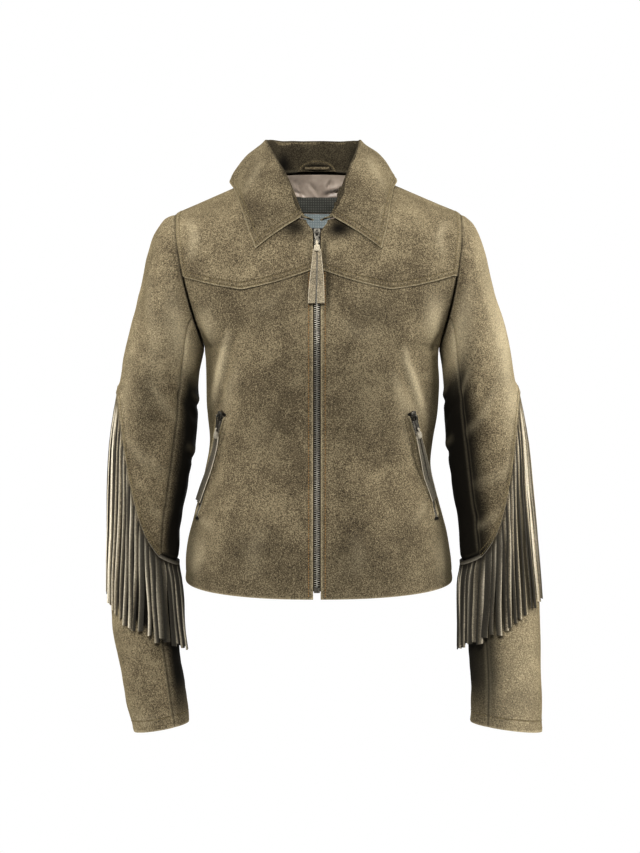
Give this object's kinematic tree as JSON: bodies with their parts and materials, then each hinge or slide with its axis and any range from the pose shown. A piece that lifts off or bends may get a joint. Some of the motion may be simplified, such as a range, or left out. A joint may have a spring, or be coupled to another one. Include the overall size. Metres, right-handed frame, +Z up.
{
  "type": "outdoor jacket",
  "caption": "Cropped jacket with a pointed shirt collar, lapped front yokes, an exposed front zip, slanting zip pockets and fringed sleeves, filled out as worn.",
  "frame": {"origin": "midway between the wearer's shoulders, at the height where neck and shoulder meet and at mid depth of the neck", "axes": "+Z up, the front faces -Y, +X is the wearer's left"},
  "size_m": [0.5557, 0.237, 0.758],
  "materials": {
    "suede": "brushed suede",
    "tassel": "cut leather lace",
    "lining": "satin weave",
    "zip_tape": "woven tape",
    "neck_label": "woven",
    "size_label": "woven",
    "zip_metal": "antique silver"
  },
  "bodies": {
    "jacket": {"back": "suede", "collar": "suede", "front_right": "suede", "yoke_right": "suede", "sleeve_upper_top_right": "suede", "sleeve_upper_under_right": "suede", "sleeve_lower_top_right": "suede", "sleeve_lower_under_right": "suede", "fringe_right": "suede", "front_left": "suede", "yoke_left": "suede", "sleeve_upper_top_left": "suede", "sleeve_upper_under_left": "suede", "sleeve_lower_top_left": "suede", "sleeve_lower_under_left": "suede", "fringe_left": "suede", "lining_back": "lining", "neck_label": "neck_label", "size_label": "size_label", "loop_facing": "lining", "hanger_loop": "lining", "zip_stop": "zip_metal", "zip_tape_right": "zip_tape", "zip_tape_left": "zip_tape", "zip_chain": "zip_metal", "zip_slider": "zip_metal", "pocket_tape_right": "zip_tape", "pocket_chain_right": "zip_metal", "pocket_slider_right": "zip_metal", "pocket_tape_left": "zip_tape", "pocket_chain_left": "zip_metal", "pocket_slider_left": "zip_metal"},
    "pull_front": {"zip_pull": "zip_metal", "zip_tassel": "tassel"},
    "pull_pocket_right": {"pocket_pull_right": "zip_metal", "pocket_tassel_right": "tassel"},
    "pull_pocket_left": {"pocket_pull_left": "zip_metal", "pocket_tassel_left": "tassel"}
  },
  "joints": [
    {"name": "front_pull_hinge", "type": "hinge", "parent": "jacket", "child": "pull_front", "pos_m": [0, -0.09952, -0.06771], "axis": [-1, 0, 0], "range_deg": [0, 130]},
    {"name": "pocket_pull_hinge_right", "type": "hinge", "parent": "jacket", "child": "pull_pocket_right", "pos_m": [-0.1233, -0.06991, -0.29381], "axis": [-0.5537, 0.763, 0.3335], "range_deg": [0, 130]},
    {"name": "pocket_pull_hinge_left", "type": "hinge", "parent": "jacket", "child": "pull_pocket_left", "pos_m": [0.12181, -0.08352, -0.29399], "axis": [-0.7466, -0.5556, -0.366], "range_deg": [0, 130]}
  ]
}
